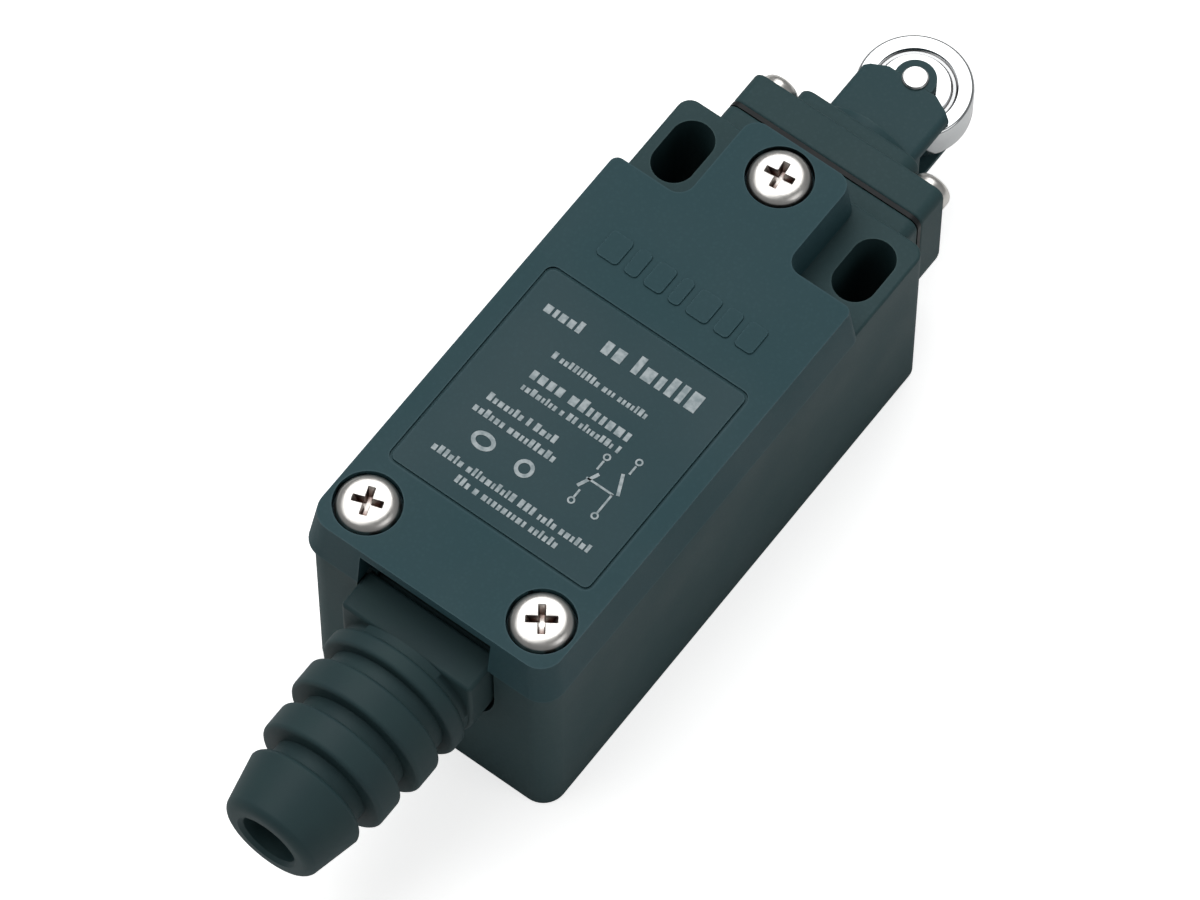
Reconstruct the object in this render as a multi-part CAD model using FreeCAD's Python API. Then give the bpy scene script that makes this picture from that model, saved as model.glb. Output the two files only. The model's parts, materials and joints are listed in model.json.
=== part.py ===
import FreeCAD, Part
import math
import os

# Enclosed limit switch with a roller plunger, millimetres.
# X runs across the body, +Y towards the roller, +Z out of the front cover.
# The origin lies on the flat back, half-way between the two fixing slots.

# Body
bodyWidth = 29.2
bodyBottom = -56.0
earTop = 5.5
baseDepth = 24.5
coverDepth = 5.5
wall = 2.4
endWall = 3.1
bodyCornerRadius = 2.5
earCornerRadius = 1.5
cavityCornerRadius = 1.5

# Fixing slots
slotWidth = 4.6
slotLength = 7.6
slotEdge = 1.3

# Cover
coverLip = 0.4
coverDraft = 0.7
tongueDraft = 0.35
coverFront = 2.0
reliefHalfWidth = 7.8
reliefDepth = 2.4
reliefLip = 1.0
coverShoulder = -6.2
tongueHalfWidth = 6.4
shoulderRadius = 1.8
shoulderCornerRadius = 0.9
bossRadius = 3.2
padRoot = 1.2
rimRebate = 1.0

# Screws
screwRadius = 1.5
clearanceRadius = 1.7
coverHeadRadius = 3.2
coverHeadHeight = 2.0
coverSinkDepth = 1.5
coverSinkGap = 0.35
coverScrewLength = 11.0
tongueScrewLength = 6.0
bottomScrewEdge = 4.8
bottomScrewSide = 4.2
tongueScrewY = 0.9
smallScrewRadius = 1.25
smallClearanceRadius = 1.4
headScrewHeadRadius = 2.1
headScrewHeadHeight = 1.7
headScrewLength = 8.0
headScrewSide = 0.1
headScrewFront = 1.3
driveWidth = 0.7
driveShare = 0.62
driveTurn = 20
screwTip = 0.5
holeSpare = 0.6

# Plunger head
headWidth = 23.0
headBack = 4.0
headFront = 22.0
neckHeight = 3.0
gasketThickness = 0.5
headPlate = 4.0
headBackRadius = 6.0
headFrontRadius = 1.2
collarBossHeight = 1.9
collarBossHalfWidth = 7.2
collarBossHalfDepth = 7.9
collarBossRadius = 1.6
sealHeight = 2.0
sealLip = 0.3

# Plunger and roller
plungerZ = 13.0
plungerRadius = 6.1
travel = 5.5
bushWall = 0.55
runningGap = 0.05
stopGap = 0.1
collarStep = 0.9
collarHeight = 1.5
chamberGap = 0.2
stemRadius = 5.5
stemLength = 6.4
stemBore = 3.4
boreDepth = 11.0
chamberFloorGap = 2.0
chamberFloor = 1.5
forkHalfWidth = 5.3
forkHalfDepth = 3.55
forkEdgeRadius = 0.8
forkStart = 3.5
pinAboveBoss = 9.3
forkShoulderDrop = 1.6
forkLugDrop = 0.4
forkTopHalfWidth = 2.9
lugRadius = 2.2
pinRadius = 1.35
pinProud = 0.35
rollerRadius = 6.0
rollerWidth = 4.2
rollerSideGap = 0.2
rollerRootGap = 0.5
rollerHubRadius = 3.6
rollerLandRadius = 4.4
rollerRecess = 0.35

# Pusher between plunger and contact carrier
pusherRadius = 1.8
pusherHeadRadius = 3.1
pusherHeadHeight = 1.5
retainerThickness = 1.0

# Contact block
carrierTravel = 2.2
blockSideGap = 0.7
blockBack = 4.0
blockTop = 18.5
blockFloor = 2.0
blockWall = 2.0
blockGap = 4.0
lidThickness = 1.4
lidHalfWidth = 5.8
mechanismHalfWidth = 7.0
carrierHalfWidth = 2.2
carrierHalfDepth = 3.2
carrierFoot = 2.5
railGap = 0.1
railHalfWidth = 1.5
windowGap = 0.1
windowWeb = 1.0
contactSpringLength = 2.6
armThickness = 0.8
armHalfDepth = 2.0
armEnd = 2.6
riserX = 6.0
tipRadius = 1.4
tipX = 4.4
tipThickness = 0.6
tipGap = 0.1
bridgeThickness = 0.6
bridgeHalfLength = 5.6
ncDrop = 7.9
terminalLevel = 16.0
terminalHalf = 2.6
terminalPocketGap = 0.3
clampHalf = 2.0
terminalHeadRadius = 2.6
terminalHeadHeight = 1.8
terminalScrewLength = 5.2
clampThickness = 0.8
blockScrewEnd = 3.2
blockScrewSink = 8.0
blockSinkRadius = 2.8
blockHeadRadius = 2.6
blockScrewTip = 1.4
carrierSpringLength = 6.0

# Cable gland
glandZ = 18.0
cableRadius = 3.1
lipRadius = 7.0
lipThickness = 1.5
plugRadius = 7.8
plugGap = 0.4
plugFlats = 7.3
innerFlange = 1.5
glandSeat = 0.1
flangeLength = 3.1
# each groove and the rib beyond it: groove length, groove radius, rib length, rib radius
ribs = [(1.0, 7.4, 2.0, 8.0), (1.8, 6.6, 3.4, 7.8), (1.8, 5.9, 3.4, 7.2)]
lastGroove = 1.8
lastGrooveRadius = 5.2
capLength = 6.6
capRadius = 6.5
capEndRadius = 4.9
capNose = 1.4

# Springs: wire radius
returnWire = 0.45
overtravelWire = 0.3
carrierWire = 0.25
contactWire = 0.15
springGap = 0.2

# Values that follow from the ones above
bodyHalf = bodyWidth / 2
slotX = bodyHalf - slotEdge - slotWidth / 2
cavityHalf = bodyHalf - wall
cavityBottom = bodyBottom + endWall
bottomScrewX = bodyHalf - bottomScrewSide
bottomScrewY = bodyBottom + bottomScrewEdge
totalDepth = baseDepth + coverDepth
sinkFloor = totalDepth - coverSinkDepth
neckTop = earTop + neckHeight
plateBottom = neckTop + gasketThickness
headTop = plateBottom + headPlate
bossTop = headTop + collarBossHeight
bushRadius = plungerRadius + runningGap
bushOuter = bushRadius + bushWall
collarRadius = plungerRadius + collarStep
chamberRadius = collarRadius + chamberGap
headScrewX = headWidth / 2 - headScrewHeadRadius - headScrewSide
headScrewZ = headFront - headScrewHeadRadius - headScrewFront
collarTop = plateBottom - stopGap
collarBottom = collarTop - collarHeight
stemEnd = collarBottom - stemLength
boreTop = stemEnd + boreDepth
chamberEnd = stemEnd - travel - chamberFloorGap
blockEnd = chamberEnd - chamberFloor
pinY = bossTop + pinAboveBoss
pusherHeadBottom = stemEnd + retainerThickness + stopGap
pusherHeadTop = pusherHeadBottom + pusherHeadHeight
caseTop = blockEnd - blockGap
caseHalf = cavityHalf - blockSideGap
terminalScrewX = caseHalf - terminalPocketGap - clampHalf
carrierTop = caseTop - blockWall - railGap
ncArm = carrierTop - ncDrop
ncTip = ncArm - tipThickness
ncBridgeTop = ncTip - tipGap - tipThickness
ncBridgeBottom = ncBridgeTop - bridgeThickness
ncWindow = ncBridgeBottom - contactSpringLength
noWindow = ncWindow - windowWeb
noBridgeTop = noWindow - contactSpringLength
noBridgeBottom = noBridgeTop - bridgeThickness
noTip = noBridgeBottom - tipThickness - tipGap - carrierTravel
noArm = noTip - tipThickness
carrierBottom = noArm - armThickness - carrierFoot
caseFloor = carrierBottom - carrierSpringLength
caseBottom = caseFloor - blockWall
caseRoom = blockBack + blockFloor
ncTerminalY = ncArm + armThickness / 2
noTerminalY = noArm - armThickness / 2
clampTop = terminalLevel + armThickness + clampThickness
blockScrews = [(-terminalScrewX, caseTop - blockScrewEnd), (terminalScrewX, caseBottom + blockScrewEnd)]
blockPads = [(terminalScrewX, caseTop - blockScrewEnd), (-terminalScrewX, caseBottom + blockScrewEnd)]
coverScrews = [
    (0.0, tongueScrewY, tongueScrewLength),
    (-bottomScrewX, bottomScrewY, coverScrewLength),
    (bottomScrewX, bottomScrewY, coverScrewLength),
]


def vec(x, y, z):
    return FreeCAD.Vector(x, y, z)


def box(x0, x1, y0, y1, z0, z1):
    return Part.makeBox(x1 - x0, y1 - y0, z1 - z0, vec(x0, y0, z0))


def rodZ(radius, x, y, z0, z1):
    return Part.makeCylinder(radius, z1 - z0, vec(x, y, z0), vec(0, 0, 1))


def rodY(radius, y0, y1, x=0.0, z=plungerZ):
    return Part.makeCylinder(radius, y1 - y0, vec(x, y0, z), vec(0, 1, 0))


def ringY(outer, inner, y0, y1, x=0.0, z=plungerZ):
    return rodY(outer, y0, y1, x, z).cut(rodY(inner, y0, y1, x, z))


def outline(points, radii):
    """A closed wire through the points in the XY plane, each corner rounded by its own radius."""
    edges = []
    last = None
    first = None
    count = len(points)
    for i in range(count):
        corner = vec(points[i][0], points[i][1], 0)
        before = vec(points[i - 1][0], points[i - 1][1], 0).sub(corner)
        after = vec(points[(i + 1) % count][0], points[(i + 1) % count][1], 0).sub(corner)
        before.normalize()
        after.normalize()
        half = before.getAngle(after) / 2
        reach = radii[i] / math.tan(half)
        start = corner.add(before * reach)
        end = corner.add(after * reach)
        middle = before.add(after)
        middle.normalize()
        centre = corner.add(middle * (radii[i] / math.sin(half)))
        crown = centre.sub(middle * radii[i])
        if last is not None:
            edges.append(Part.LineSegment(last, start).toShape())
        else:
            first = start
        edges.append(Part.Arc(start, crown, end).toShape())
        last = end
    edges.append(Part.LineSegment(last, first).toShape())
    return Part.Wire(edges)


def prism(points, radii, z0, z1):
    face = Part.Face(outline(points, radii))
    face.translate(vec(0, 0, z0))
    return face.extrude(vec(0, 0, z1 - z0))


def plate(x0, x1, y0, y1, radius, z0, z1):
    return prism([(x0, y0), (x1, y0), (x1, y1), (x0, y1)], [radius] * 4, z0, z1)


def prismY(points, radii, y0, y1):
    """A prism along +Y from an outline whose points are (x, z)."""
    solid = prism([(x, -z) for x, z in points], radii, y0, y1)
    solid.rotate(vec(0, 0, 0), vec(1, 0, 0), -90)
    return solid


def slot(x, y, z0, z1):
    reach = (slotLength - slotWidth) / 2
    radius = slotWidth / 2
    solid = box(x - radius, x + radius, y - reach, y + reach, z0, z1)
    for end in (-reach, reach):
        solid = solid.fuse(rodZ(radius, x, y + end, z0, z1))
    return solid.removeSplitter()


def panScrew(headRadius, headHeight, length, shankRadius=screwRadius):
    """A cross-recessed pan screw along -Z, with the underside of its head at the origin."""
    head = Part.makeCylinder(headRadius, headHeight)
    crown = max(head.Edges, key=lambda edge: edge.CenterOfMass.z)
    head = head.makeFillet(headHeight * driveShare, [crown])
    reach = headRadius * driveShare
    for turn in (0, 90):
        drive = box(-reach, reach, -driveWidth / 2, driveWidth / 2, headHeight / 2, headHeight)
        drive.rotate(vec(0, 0, 0), vec(0, 0, 1), turn)
        head = head.cut(drive)
    shank = Part.makeCylinder(shankRadius, length, vec(0, 0, -length))
    tip = min(shank.Edges, key=lambda edge: edge.CenterOfMass.z)
    shank = shank.makeChamfer(screwTip, [tip])
    return head.fuse(shank).removeSplitter()


def springY(outer, wire, y0, y1):
    """The sleeve that a round-wire compression spring fills between its two seats on the plunger axis."""
    return ringY(outer, outer - 2 * wire, y0, y1)


def group(solids):
    return Part.makeCompound(solids)


def coverOutline(inset):
    """Outline of the cover: full width up to the shoulders, then a tongue between the ears."""
    half = bodyHalf + coverLip - inset
    bottom = bodyBottom - coverLip + inset
    tongue = tongueHalfWidth - inset * tongueDraft / coverDraft
    top = earTop - inset * tongueDraft / coverDraft
    shoulder = coverShoulder
    points = [
        (-half, bottom), (half, bottom), (half, shoulder), (tongue, shoulder),
        (tongue, top), (-tongue, top), (-tongue, shoulder), (-half, shoulder),
    ]
    radii = [
        bodyCornerRadius, bodyCornerRadius, shoulderCornerRadius, shoulderRadius,
        shoulderRadius, shoulderRadius, shoulderRadius, shoulderCornerRadius,
    ]
    return outline(points, radii)


def gasketPath(inset, z0, z1):
    """The ring that runs round the inner edge of the rim, as a solid out to the inset."""
    return plate(-cavityHalf - inset, cavityHalf + inset, cavityBottom - inset, blockEnd + inset,
                 cavityCornerRadius + inset, z0, z1)


def uSlot(radius, y0, y1):
    """A round-bottomed slot on the gland axis, open towards the cover."""
    cut = rodY(radius, y0, y1, 0.0, glandZ)
    return cut.fuse(box(-radius, radius, y0, y1, glandZ, baseDepth))


def housingBase():
    corners = [(-bodyHalf, bodyBottom), (bodyHalf, bodyBottom), (bodyHalf, earTop), (-bodyHalf, earTop)]
    radii = [bodyCornerRadius, bodyCornerRadius, earCornerRadius, earCornerRadius]
    body = prism(corners, radii, 0, baseDepth)
    body = body.fuse(headSection(headWidth / 2, earTop, neckTop))
    body = body.cut(gasketPath(0, wall, baseDepth))
    for x in (-bottomScrewX, bottomScrewX):
        boss = rodZ(bossRadius, x, bottomScrewY, wall, baseDepth)
        body = body.fuse(boss.common(prism(corners, radii, 0, baseDepth)))
    for x, y in blockScrews + blockPads:
        body = body.fuse(rodZ(bossRadius, x, y, wall - padRoot, blockBack))
    body = body.cut(rodY(chamberRadius, chamberEnd, neckTop))
    body = body.cut(rodY(pusherRadius + runningGap, blockEnd, chamberEnd))
    for x in (-slotX, slotX):
        body = body.cut(slot(x, 0, 0, baseDepth))
    for x, y, length in coverScrews:
        body = body.cut(rodZ(screwRadius, x, y, sinkFloor - length - holeSpare, baseDepth))
    for x in (-headScrewX, headScrewX):
        body = body.cut(rodY(smallScrewRadius, headTop - headScrewLength - holeSpare, neckTop, x, headScrewZ))
    for x, y in blockScrews:
        body = body.cut(rodZ(screwRadius, x, y, blockScrewTip - holeSpare, blockBack))
    body = body.cut(gasketPath(rimRebate, baseDepth - rimRebate, baseDepth))
    lipOuter = cavityBottom - lipThickness
    body = body.cut(uSlot(plugRadius + plugGap, bodyBottom, lipOuter))
    body = body.cut(uSlot(lipRadius, lipOuter, cavityBottom))
    body = body.cut(uSlot(plugFlats, cavityBottom, cavityBottom + innerFlange + glandSeat))
    return body.removeSplitter()


def cover():
    back = coverOutline(0)
    back.translate(vec(0, 0, baseDepth))
    front = coverOutline(coverDraft)
    front.translate(vec(0, 0, totalDepth))
    shell = Part.makeLoft([back, front], True, True)
    room = gasketPath(0, baseDepth, totalDepth - coverFront)
    for x in (-bottomScrewX, bottomScrewX):
        room = room.cut(rodZ(bossRadius, x, bottomScrewY, baseDepth, totalDepth))
    shell = shell.cut(room)
    edge = bodyBottom - coverLip
    relief = box(-reliefHalfWidth, reliefHalfWidth, edge, edge + reliefDepth,
                 baseDepth, totalDepth - reliefLip)
    shell = shell.cut(relief)
    for x, y, length in coverScrews:
        shell = shell.cut(rodZ(clearanceRadius, x, y, baseDepth, totalDepth))
        shell = shell.cut(rodZ(coverHeadRadius + coverSinkGap, x, y, sinkFloor, totalDepth))
    return shell


def coverGasket():
    ring = gasketPath(rimRebate, baseDepth - rimRebate, baseDepth)
    ring = ring.cut(gasketPath(0, baseDepth - rimRebate, baseDepth))
    return ring


def coverScrewSet():
    solids = []
    for x, y, length in coverScrews:
        screw = panScrew(coverHeadRadius, coverHeadHeight, length)
        screw.rotate(vec(0, 0, 0), vec(0, 0, 1), driveTurn * (len(solids) + 1))
        screw.translate(vec(x, y, sinkFloor))
        solids.append(screw)
    return group(solids)


def headSection(half, y0, y1):
    points = [(-half, headBack), (half, headBack), (half, headFront), (-half, headFront)]
    radii = [headBackRadius, headBackRadius, headFrontRadius, headFrontRadius]
    return prismY(points, radii, y0, y1)


def plungerHead():
    head = headSection(headWidth / 2, plateBottom, headTop)
    half = collarBossHalfWidth
    low = plungerZ - collarBossHalfDepth
    high = plungerZ + collarBossHalfDepth
    points = [(-half, low), (half, low), (half, high), (-half, high)]
    head = head.fuse(prismY(points, [collarBossRadius] * 4, headTop, bossTop))
    head = head.cut(rodY(bushOuter, plateBottom, bossTop))
    for x in (-headScrewX, headScrewX):
        head = head.cut(rodY(smallClearanceRadius, plateBottom, headTop, x, headScrewZ))
    return head.removeSplitter()


def headGasket():
    sheet = headSection(headWidth / 2, neckTop, plateBottom)
    sheet = sheet.cut(rodY(chamberRadius, neckTop, plateBottom))
    for x in (-headScrewX, headScrewX):
        sheet = sheet.cut(rodY(smallClearanceRadius, neckTop, plateBottom, x, headScrewZ))
    return sheet


def headScrewSet():
    solids = []
    for x in (-headScrewX, headScrewX):
        screw = panScrew(headScrewHeadRadius, headScrewHeadHeight, headScrewLength, smallScrewRadius)
        screw.rotate(vec(0, 0, 0), vec(1, 0, 0), -90)
        screw.translate(vec(x, headTop, headScrewZ))
        solids.append(screw)
    return group(solids)


def guideBush():
    return ringY(bushOuter, bushRadius, plateBottom, bossTop - sealHeight)


def wiperSeal():
    seal = ringY(bushOuter, bushRadius, bossTop - sealHeight, bossTop)
    return seal.fuse(ringY(bushOuter - sealLip, bushRadius, bossTop, bossTop + sealLip)).removeSplitter()


def forkOutline():
    shoulder = pinY - forkShoulderDrop
    top = pinY - forkLugDrop
    start = headTop + forkStart
    points = [
        (-forkHalfWidth, start), (forkHalfWidth, start), (forkHalfWidth, shoulder),
        (forkTopHalfWidth, top), (-forkTopHalfWidth, top), (-forkHalfWidth, shoulder),
    ]
    wire = Part.makePolygon([vec(x, y, 0) for x, y in points + points[:1]])
    return Part.Face(wire)


def plunger():
    shaft = rodY(plungerRadius, collarTop, headTop + forkStart)
    collar = rodY(collarRadius, collarBottom, collarTop)
    stem = rodY(stemRadius, stemEnd, collarBottom)
    fork = forkOutline().extrude(vec(0, 0, 2 * forkHalfDepth))
    flanks = [edge for edge in fork.Edges if edge.BoundBox.XLength + edge.BoundBox.ZLength < runningGap]
    fork = fork.makeFillet(forkEdgeRadius, flanks)
    fork.translate(vec(0, 0, plungerZ - forkHalfDepth))
    lug = rodZ(lugRadius, 0, pinY, plungerZ - forkHalfDepth, plungerZ + forkHalfDepth)
    body = shaft.fuse([collar, stem, fork, lug])
    gap = rollerWidth / 2 + rollerSideGap
    root = pinY - rollerRadius - rollerRootGap
    body = body.cut(box(-2 * plungerRadius, 2 * plungerRadius, root, pinY + 2 * lugRadius,
                        plungerZ - gap, plungerZ + gap))
    body = body.cut(rodZ(pinRadius, 0, pinY, 0, totalDepth))
    body = body.cut(rodY(stemBore, stemEnd, boreTop))
    return body.removeSplitter()


def rollerPin():
    reach = forkHalfDepth + pinProud
    return rodZ(pinRadius, 0, pinY, plungerZ - reach, plungerZ + reach)


def roller():
    half = rollerWidth / 2
    wheel = rodZ(rollerRadius, 0, pinY, plungerZ - half, plungerZ + half)
    rims = [edge for edge in wheel.Edges if edge.Closed and edge.BoundBox.ZLength < runningGap]
    wheel = wheel.makeChamfer(rollerRecess, rims)
    for sign in (-1, 1):
        face = plungerZ + sign * half
        low = min(face, face - sign * rollerRecess)
        groove = rodZ(rollerLandRadius, 0, pinY, low, low + rollerRecess)
        wheel = wheel.cut(groove.cut(rodZ(rollerHubRadius, 0, pinY, low, low + rollerRecess)))
    return wheel.cut(rodZ(pinRadius + runningGap, 0, pinY, plungerZ - half, plungerZ + half))


def plungerRetainer():
    return ringY(stemBore, pusherRadius + runningGap, stemEnd, stemEnd + retainerThickness)


def pusher():
    rod = rodY(pusherRadius, carrierTop, pusherHeadBottom)
    return rod.fuse(rodY(pusherHeadRadius, pusherHeadBottom, pusherHeadTop)).removeSplitter()


def contactCarrier():
    low = plungerZ - carrierHalfDepth
    high = plungerZ + carrierHalfDepth
    bar = box(-carrierHalfWidth, carrierHalfWidth, carrierBottom, carrierTop, low, high)
    reach = armHalfDepth + windowGap
    for y0, y1 in ((ncWindow, ncBridgeTop), (noBridgeBottom, noWindow)):
        window = box(-carrierHalfWidth, carrierHalfWidth, y0, y1, plungerZ - reach, plungerZ + reach)
        bar = bar.cut(window)
    return bar


def bridge(top):
    return box(-bridgeHalfLength, bridgeHalfLength, top - bridgeThickness, top,
               plungerZ - armHalfDepth, plungerZ + armHalfDepth)


def tips(y0):
    return [rodY(tipRadius, y0, y0 + tipThickness, x) for x in (-tipX, tipX)]


def fixedContact(side, armBottom, terminalY):
    """One fixed contact: arm beside the carrier, riser up the wall and terminal plate on its ledge."""
    depth = armHalfDepth
    riserEnd = riserX + armThickness
    top = terminalLevel + armThickness
    arm = box(armEnd, riserEnd, armBottom, armBottom + armThickness, plungerZ - depth, plungerZ + depth)
    riser = box(riserX, riserEnd, terminalY - depth, terminalY + depth, plungerZ - depth, top)
    tab = box(riserX, caseHalf - terminalPocketGap, terminalY - terminalHalf, terminalY + terminalHalf,
              terminalLevel, top)
    tab = tab.cut(rodZ(screwRadius, terminalScrewX, terminalY, terminalLevel, top))
    strip = arm.fuse([riser, tab]).removeSplitter()
    if side < 0:
        strip = strip.mirror(vec(0, 0, 0), vec(1, 0, 0))
    return strip


def contactBlockCase():
    case = box(-caseHalf, caseHalf, caseBottom, caseTop, blockBack, blockTop)
    case = case.cut(box(-mechanismHalfWidth, mechanismHalfWidth, caseFloor, caseTop - blockWall,
                        caseRoom, blockTop))
    rail = box(-railHalfWidth, railHalfWidth, caseFloor, caseTop - blockWall,
               caseRoom, plungerZ - carrierHalfDepth - railGap)
    case = case.fuse(rail)
    case = case.cut(rodY(pusherRadius + runningGap, caseTop - blockWall, caseTop))
    reach = terminalHalf + terminalPocketGap
    for side in (-1, 1):
        outer = side * caseHalf
        inner = side * lidHalfWidth
        for y in (ncTerminalY, noTerminalY):
            case = case.cut(box(min(outer, inner), max(outer, inner), y - reach, y + reach,
                                terminalLevel, blockTop))
            tip = clampTop - terminalScrewLength - holeSpare
            case = case.cut(rodZ(clearanceRadius, side * terminalScrewX, y, tip, terminalLevel))
    for x, y in blockScrews:
        case = case.cut(rodZ(clearanceRadius, x, y, blockBack, blockScrewSink))
        case = case.cut(rodZ(blockSinkRadius, x, y, blockScrewSink, blockTop))
    return case.removeSplitter()


def contactBlockLid():
    lid = box(-lidHalfWidth, lidHalfWidth, caseBottom, caseTop, blockTop, blockTop + lidThickness)
    rib = box(-railHalfWidth, railHalfWidth, caseFloor + railGap, caseTop - blockWall - railGap,
              plungerZ + carrierHalfDepth + railGap, blockTop)
    return lid.fuse(rib).removeSplitter()


def contactBlockScrewSet():
    solids = []
    for x, y in blockScrews:
        screw = panScrew(blockHeadRadius, terminalHeadHeight, blockScrewSink - blockScrewTip)
        screw.translate(vec(x, y, blockScrewSink))
        solids.append(screw)
    return group(solids)


def terminalPlaces():
    return [(side * terminalScrewX, y) for side in (-1, 1) for y in (ncTerminalY, noTerminalY)]


def terminalScrewSet():
    solids = []
    for x, y in terminalPlaces():
        screw = panScrew(terminalHeadRadius, terminalHeadHeight, terminalScrewLength)
        screw.translate(vec(x, y, clampTop))
        solids.append(screw)
    return group(solids)


def terminalClampSet():
    solids = []
    low = clampTop - clampThickness
    for x, y in terminalPlaces():
        clamp = box(x - clampHalf, x + clampHalf, y - clampHalf, y + clampHalf, low, clampTop)
        solids.append(clamp.cut(rodZ(screwRadius, x, y, low, clampTop)))
    return group(solids)


def plugSection(radius, flank, top, y0, y1):
    """A length of the plug: round below, flat at the sides and on top."""
    return uSlot(radius, y0, y1).common(box(-flank, flank, y0, y1, glandZ - radius + glandSeat, top))


def cableGrommet():
    """A moulded sleeve: the flat-topped plug in the end wall, then round ribs down to the cap."""
    plugEnd = cavityBottom - lipThickness - glandSeat
    neckEnd = cavityBottom + glandSeat
    top = baseDepth - glandSeat
    plug = plugSection(plugRadius, plugRadius, top, bodyBottom - flangeLength, plugEnd)
    plug = plug.fuse(plugSection(lipRadius, lipRadius - glandSeat, top - rimRebate, plugEnd, neckEnd))
    plug = plug.fuse(plugSection(plugRadius, plugFlats - glandSeat, top, neckEnd, cavityBottom + innerFlange))
    steps = []
    y = bodyBottom - flangeLength
    for grooveLength, grooveRadius, ribLength, ribRadius in ribs:
        steps.append((y - grooveLength, y, grooveRadius))
        y -= grooveLength
        steps.append((y - ribLength, y, ribRadius))
        y -= ribLength
    steps.append((y - lastGroove, y, lastGrooveRadius))
    y -= lastGroove
    pieces = [rodY(radius, y0, y1, 0.0, glandZ) for y0, y1, radius in steps]
    cap = Part.makeCone(capRadius, capEndRadius, capLength, vec(0, y, glandZ), vec(0, -1, 0))
    nose = min(cap.Edges, key=lambda edge: edge.CenterOfMass.y)
    pieces.append(cap.makeFillet(capNose, [nose]))
    sleeve = plug.fuse(pieces)
    sleeve = sleeve.cut(rodY(cableRadius, y - capLength, cavityBottom + innerFlange, 0.0, glandZ))
    return sleeve.removeSplitter()


def returnSpring():
    return springY(chamberRadius - springGap, returnWire, chamberEnd, collarBottom)


def overtravelSpring():
    return springY(stemBore - springGap, overtravelWire, pusherHeadTop, boreTop)


def carrierSpring():
    return springY(pusherRadius, carrierWire, caseFloor, carrierBottom)


def contactSprings():
    radius = armHalfDepth - springGap
    upper = springY(radius, contactWire, ncWindow, ncBridgeBottom)
    lower = springY(radius, contactWire, noBridgeTop, noWindow)
    return group([upper, lower])


parts = {
    "housing_base": housingBase,
    "cover": cover,
    "cover_gasket": coverGasket,
    "cover_screws": coverScrewSet,
    "plunger_head": plungerHead,
    "head_gasket": headGasket,
    "head_screws": headScrewSet,
    "guide_bush": guideBush,
    "wiper_seal": wiperSeal,
    "cable_grommet": cableGrommet,
    "contact_block_case": contactBlockCase,
    "contact_block_lid": contactBlockLid,
    "contact_block_screws": contactBlockScrewSet,
    "terminal_screws": terminalScrewSet,
    "terminal_clamps": terminalClampSet,
    "nc_fixed_contacts": lambda: group([fixedContact(side, ncArm, ncTerminalY) for side in (-1, 1)]),
    "no_fixed_contacts": lambda: group([fixedContact(side, noArm - armThickness, noTerminalY)
                                        for side in (-1, 1)]),
    "fixed_contact_tips": lambda: group(tips(ncTip) + tips(noArm)),
    "plunger": plunger,
    "roller_pin": rollerPin,
    "roller": roller,
    "plunger_retainer": plungerRetainer,
    "pusher": pusher,
    "contact_carrier": contactCarrier,
    "nc_bridge": lambda: bridge(ncBridgeTop),
    "no_bridge": lambda: bridge(noBridgeTop),
    "bridge_tips": lambda: group(tips(ncBridgeTop) + tips(noBridgeBottom - tipThickness)),
    "contact_springs": contactSprings,
    "plunger_return_spring": returnSpring,
    "overtravel_spring": overtravelSpring,
    "carrier_return_spring": carrierSpring,
}

os.makedirs("parts", exist_ok=True)
for name, make in parts.items():
    make().exportStep("parts/" + name + ".step")
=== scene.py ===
import json
import math
import random

import bmesh
import bpy
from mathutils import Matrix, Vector


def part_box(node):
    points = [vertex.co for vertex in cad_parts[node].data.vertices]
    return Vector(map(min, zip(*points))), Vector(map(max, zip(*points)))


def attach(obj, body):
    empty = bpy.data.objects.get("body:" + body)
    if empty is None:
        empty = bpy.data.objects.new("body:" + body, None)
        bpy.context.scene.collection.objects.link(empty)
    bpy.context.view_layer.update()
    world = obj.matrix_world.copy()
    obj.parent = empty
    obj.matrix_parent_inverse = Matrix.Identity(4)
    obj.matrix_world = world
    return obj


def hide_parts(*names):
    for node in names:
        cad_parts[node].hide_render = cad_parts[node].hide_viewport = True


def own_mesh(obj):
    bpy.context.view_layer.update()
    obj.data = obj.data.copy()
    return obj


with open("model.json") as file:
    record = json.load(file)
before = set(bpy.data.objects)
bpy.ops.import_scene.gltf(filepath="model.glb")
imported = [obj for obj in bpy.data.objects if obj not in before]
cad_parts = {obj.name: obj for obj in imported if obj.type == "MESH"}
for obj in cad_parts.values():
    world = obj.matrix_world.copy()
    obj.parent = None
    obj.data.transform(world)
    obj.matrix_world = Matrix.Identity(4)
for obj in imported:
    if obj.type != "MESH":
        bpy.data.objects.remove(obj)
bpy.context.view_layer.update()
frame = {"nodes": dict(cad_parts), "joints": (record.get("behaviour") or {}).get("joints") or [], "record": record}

mm = 0.001
record = frame["record"]
nodes = frame["nodes"]
mounts = {m["name"]: m for m in record["mounts"]}
joints = {j["name"]: j for j in frame["joints"]}
random.seed(7)


def edges(node):  # a CAD node's box, in millimetres
    low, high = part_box(node)
    return low / mm, high / mm


baseLow, baseHigh = edges("housing_base")
coverLow, coverHigh = edges("cover")
headLow, headHigh = edges("plunger_head")
gasketLow = edges("head_gasket")[0]
plungerLow, plungerHigh = edges("plunger")
bushLow, bushHigh = edges("guide_bush")
sealLow, sealHigh = edges("wiper_seal")
collarRadius = (plungerHigh.x - plungerLow.x) / 2
bushRadius = (bushHigh.x - bushLow.x) / 2
pin = Vector(joints["roller_spin"]["pos_m"]) / mm
gland = Vector(mounts["cable_entry"]["pos_m"]) / mm
slotX = mounts["fixing_slots"]["dims"]["spacing_x_mm"] / 2


def nothing():
    bpy.ops.object.select_all(action="DESELECT")


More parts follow.
